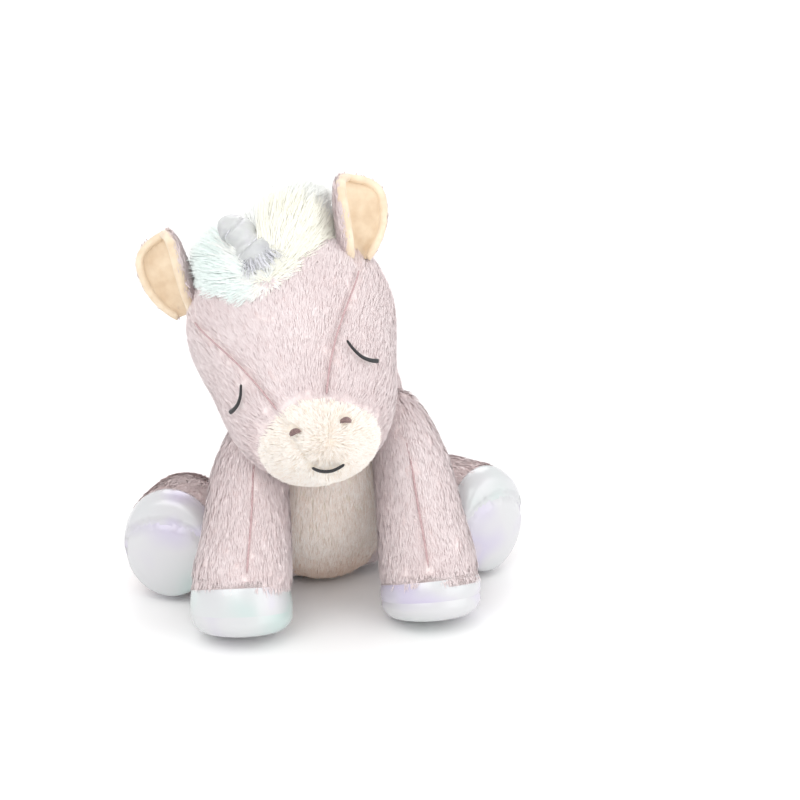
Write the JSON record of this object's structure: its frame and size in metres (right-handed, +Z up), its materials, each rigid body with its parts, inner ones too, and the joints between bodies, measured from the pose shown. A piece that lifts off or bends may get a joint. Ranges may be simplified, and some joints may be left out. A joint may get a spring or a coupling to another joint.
{
  "type": "plush unicorn",
  "caption": "Sitting plush unicorn with a bowed sleepy head, soft twisted horn, long pale mane, cupped ears and pearly hoofs on legs that swing and splay.",
  "frame": {"origin": "middle of the patch of floor that the seat rests on, at floor height", "axes": "+Z up, the toy's chest faces -Y, +X towards its own left front leg as a viewer sees it on the right"},
  "size_m": [0.1867, 0.1809, 0.188],
  "materials": {
    "plush": "short soft mauve pile",
    "plush_deep": "short soft pile, a deeper mauve",
    "cream_plush": "short soft cream pile",
    "filling": "polyester fibre",
    "bean_bag": "woven pouch of plastic beans",
    "magnet": "matt",
    "black_thread": "satin stitch",
    "mauve_thread": "satin stitch",
    "silver_fabric": "translucent iridescent knit",
    "silver_thread": "shiny twisted thread",
    "mane_pile": "long soft pile, white with mint and cream",
    "label_cloth": "woven satin ribbon, blank",
    "velour": "cream velour",
    "pearl_fabric": "iridescent pearl coated cloth"
  },
  "bodies": {
    "torso": {"torso_cover_left": "plush", "torso_cover_right": "plush", "tummy_panel": "cream_plush", "torso_stuffing": "filling", "bean_pouch": "bean_bag", "tail_tab": "plush", "care_label": "label_cloth"},
    "neck": {"neck_cover": "plush", "neck_stuffing": "filling"},
    "head": {"forehead_panel": "plush_deep", "cheek_left": "plush", "cheek_right": "plush", "head_back_panel": "plush", "muzzle_panel": "cream_plush", "head_stuffing": "filling", "muzzle_magnet": "magnet", "eye_left": "black_thread", "eye_right": "black_thread", "nostril_left": "mauve_thread", "nostril_right": "mauve_thread", "smile": "black_thread", "horn_cover": "silver_fabric", "horn_stuffing": "filling", "horn_thread": "silver_thread", "mane_front": "mane_pile", "mane_back": "mane_pile"},
    "tail": {"tail_tuft": "mane_pile"},
    "ear_left": {"ear_outer_left": "plush", "ear_lining_left": "velour"},
    "front_leg_left": {"front_leg_sleeve_left": "plush", "front_hoof_cover_left": "pearl_fabric", "front_hoof_sole_left": "pearl_fabric", "front_leg_stuffing_left": "filling"},
    "hind_leg_left": {"hind_leg_sleeve_left": "plush", "hind_hoof_cover_left": "pearl_fabric", "hind_hoof_sole_left": "pearl_fabric", "hind_leg_stuffing_left": "filling"},
    "ear_right": {"ear_outer_right": "plush", "ear_lining_right": "velour"},
    "front_leg_right": {"front_leg_sleeve_right": "plush", "front_hoof_cover_right": "pearl_fabric", "front_hoof_sole_right": "pearl_fabric", "front_leg_stuffing_right": "filling"},
    "hind_leg_right": {"hind_leg_sleeve_right": "plush", "hind_hoof_cover_right": "pearl_fabric", "hind_hoof_sole_right": "pearl_fabric", "hind_leg_stuffing_right": "filling"}
  },
  "joints": [
    {"name": "neck_turn", "type": "hinge", "parent": "torso", "child": "neck", "pos_m": [0.004, 0.006, 0.073], "axis": [0, 0, 1], "range_deg": [-12, 12], "stiffness_Nm_per_rad": 0.4},
    {"name": "head_nod", "type": "hinge", "parent": "neck", "child": "head", "pos_m": [0.004, 0.006, 0.073], "axis": [-1, 0, 0], "range_deg": [-4, 22], "stiffness_Nm_per_rad": 0.8},
    {"name": "front_leg_swing_left", "type": "hinge", "parent": "torso", "child": "front_leg_left", "pos_m": [-0.038, -0.019, 0.057], "axis": [-1, 0, 0], "range_deg": [-6, 22], "stiffness_Nm_per_rad": 0.3},
    {"name": "hind_leg_splay_left", "type": "hinge", "parent": "torso", "child": "hind_leg_left", "pos_m": [-0.054, 0.023, 0.021], "axis": [0, 0, -1], "range_deg": [0, 25], "stiffness_Nm_per_rad": 0.3},
    {"name": "ear_fold_left", "type": "hinge", "parent": "head", "child": "ear_left", "pos_m": [-0.06323, -0.0077, 0.13072], "axis": [-0.4181, 0.2948, -0.8592], "range_deg": [-24, 8], "stiffness_Nm_per_rad": 0.02},
    {"name": "front_leg_swing_right", "type": "hinge", "parent": "torso", "child": "front_leg_right", "pos_m": [0.042, -0.02, 0.057], "axis": [-1, 0, 0], "range_deg": [-6, 22], "stiffness_Nm_per_rad": 0.3},
    {"name": "hind_leg_splay_right", "type": "hinge", "parent": "torso", "child": "hind_leg_right", "pos_m": [0.057, 0.023, 0.021], "axis": [0, 0, 1], "range_deg": [0, 25], "stiffness_Nm_per_rad": 0.3},
    {"name": "ear_fold_right", "type": "hinge", "parent": "head", "child": "ear_right", "pos_m": [0.01678, -0.02938, 0.16525], "axis": [-0.9613, 0.0789, 0.2639], "range_deg": [-24, 8], "stiffness_Nm_per_rad": 0.02},
    {"name": "tail_swing", "type": "hinge", "parent": "torso", "child": "tail", "pos_m": [0.002, 0.0538, 0.034], "axis": [0, 0, 1], "range_deg": [-30, 30], "stiffness_Nm_per_rad": 0.03}
  ]
}
